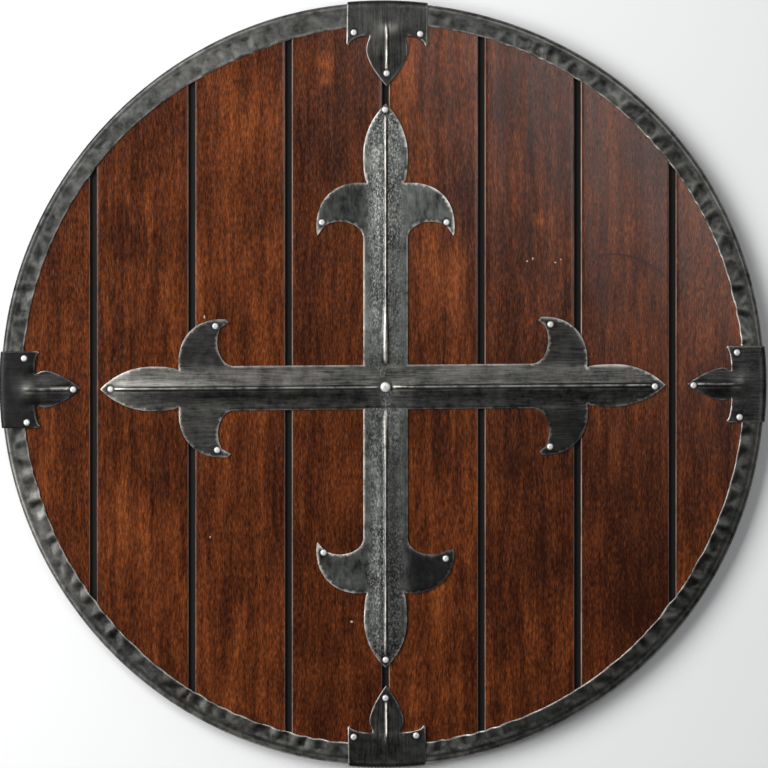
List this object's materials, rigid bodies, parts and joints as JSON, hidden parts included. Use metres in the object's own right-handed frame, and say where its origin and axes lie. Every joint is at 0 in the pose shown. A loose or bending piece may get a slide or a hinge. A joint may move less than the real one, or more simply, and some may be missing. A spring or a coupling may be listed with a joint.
{
  "type": "wooden round shield",
  "caption": "Round shield of tongued boards in a folded iron hoop, with a riveted iron cross whose ends are barbed and leaf-shaped, and leaf-pointed iron clips nailed over the rim.",
  "frame": {"origin": "on the surface the shield lies on, under the middle of the hoop", "axes": "+Z out of the shield's front face, +Y towards its top with the boards upright, +X towards the right of someone facing the front"},
  "size_m": [0.603, 0.603, 0.0221],
  "materials": {
    "board_wood": "reddish-brown hardwood under a satin varnish, each board its own tone",
    "hoop_iron": "hammered, blackened and waxed sheet iron with rubbed edges",
    "bar_iron": "blackened sheet iron, pitted and brushed, with bright ground edges",
    "clip_iron": "dark blackened sheet iron, brushed along its leaf",
    "nail_steel": "bright worn domed heads"
  },
  "bodies": {
    "root": {"board_1": "board_wood", "board_2": "board_wood", "board_3": "board_wood", "board_4": "board_wood", "board_5": "board_wood", "board_6": "board_wood", "board_7": "board_wood", "board_8": "board_wood", "rim_hoop": "hoop_iron", "cross_upright_bar": "bar_iron", "cross_level_bar": "bar_iron", "clip_top": "clip_iron", "clip_left": "clip_iron", "clip_bottom": "clip_iron", "clip_right": "clip_iron", "centre_rivet": "nail_steel", "nail_upright_top_tip": "nail_steel", "nail_upright_top_left": "nail_steel", "nail_upright_top_right": "nail_steel", "nail_upright_bottom_tip": "nail_steel", "nail_upright_bottom_right": "nail_steel", "nail_upright_bottom_left": "nail_steel", "nail_level_right_tip": "nail_steel", "nail_level_right_upper": "nail_steel", "nail_level_right_lower": "nail_steel", "nail_level_left_tip": "nail_steel", "nail_level_left_lower": "nail_steel", "nail_level_left_upper": "nail_steel", "nail_clip_top_first": "nail_steel", "nail_clip_top_second": "nail_steel", "nail_clip_top_leaf": "nail_steel", "nail_clip_left_first": "nail_steel", "nail_clip_left_second": "nail_steel", "nail_clip_left_leaf": "nail_steel", "nail_clip_bottom_first": "nail_steel", "nail_clip_bottom_second": "nail_steel", "nail_clip_bottom_leaf": "nail_steel", "nail_clip_right_first": "nail_steel", "nail_clip_right_second": "nail_steel", "nail_clip_right_leaf": "nail_steel"}
  },
  "joints": []
}
